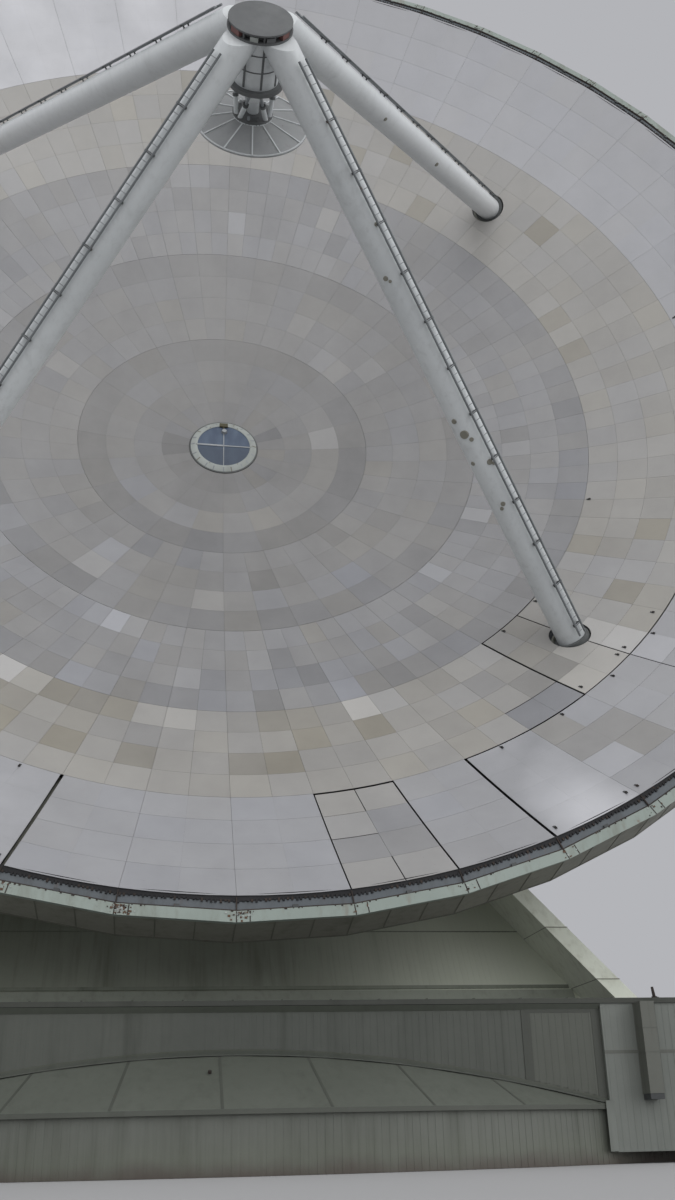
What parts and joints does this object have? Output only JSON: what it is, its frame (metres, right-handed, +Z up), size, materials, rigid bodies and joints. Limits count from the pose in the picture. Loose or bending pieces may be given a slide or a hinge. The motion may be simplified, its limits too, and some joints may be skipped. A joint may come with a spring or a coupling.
{
  "type": "radio telescope dish, 1:2 scale model",
  "caption": "Large steerable radio telescope: segmented paraboloid dish with feed legs and secondary mirror on a clad alidade that turns on a round foundation.",
  "frame": {"origin": "on the ground, on the azimuth axis, at the centre of the foundation's underside", "axes": "+Z up; the dish looks towards -Y at rest, tipped down to 11 degrees above the horizontal; +X to the right of someone who faces the dish's front from -Y"},
  "size_m": [25.78, 23.6953, 28.4543],
  "materials": {
    "concrete": "matt, ribbed cladding over concrete",
    "roofing": "matt sheet with radial seams",
    "cladding": "satin, finely ribbed sheet",
    "trim": "satin",
    "steel": "satin paint",
    "panel": "dull metal with patches",
    "backing": "matt sheet cladding",
    "fascia": "satin paint",
    "dark": "dark satin paint",
    "window": "smooth membrane"
  },
  "bodies": {
    "foundation": {"foundation_wall": "concrete", "skirt_roof": "roofing"},
    "alidade": {"turntable": "steel", "base_wall_front": "cladding", "base_wall_back": "cladding", "base_wall_left": "cladding", "base_wall_right": "cladding", "corner_tower_front_right": "cladding", "corner_tower_front_left": "cladding", "corner_tower_back_right": "cladding", "corner_tower_back_left": "cladding", "base_roof": "trim", "duct_right": "trim", "duct_left": "trim", "hip_front_right": "steel", "hip_front_left": "steel", "hip_back_right": "steel", "hip_back_left": "steel", "gable_front": "cladding", "gable_back": "cladding", "gable_left": "cladding", "gable_right": "cladding", "crosshead": "steel", "yoke_arm_left": "steel", "yoke_arm_right": "steel", "elevation_drive": "dark"},
    "dish": {"hub_housing": "steel", "elevation_gear": "steel", "counterweight_left": "steel", "counterweight_right": "steel", "backing_lower_left": "backing", "backing_lower_right": "backing", "backing_upper_left": "backing", "backing_upper_right": "backing", "panel_ring_1": "panel", "panel_ring_2": "panel", "panel_ring_3": "panel", "panel_ring_4": "panel", "panel_ring_5": "panel", "rim_band": "backing", "rim_fascia": "fascia", "vertex_ring": "trim", "vertex_window": "window", "feed_leg_lower_left": "steel", "feed_leg_lower_right": "steel", "feed_leg_upper_left": "steel", "feed_leg_upper_right": "steel", "ladder_lower_left": "steel", "ladder_lower_right": "steel", "ladder_upper_left": "steel", "ladder_upper_right": "steel", "apex_platform": "dark", "apex_can": "steel", "hexapod": "dark", "secondary_mirror": "dark", "secondary_ribs": "steel"}
  },
  "joints": [
    {"name": "azimuth", "type": "hinge", "parent": "foundation", "child": "alidade", "pos_m": [0, 0, 0], "axis": [0, 0, 1], "range_deg": [-270, 270]},
    {"name": "elevation", "type": "hinge", "parent": "alidade", "child": "dish", "pos_m": [0, 0, 14.375], "axis": [-1, 0, 0], "range_deg": [-3, 79]}
  ]
}
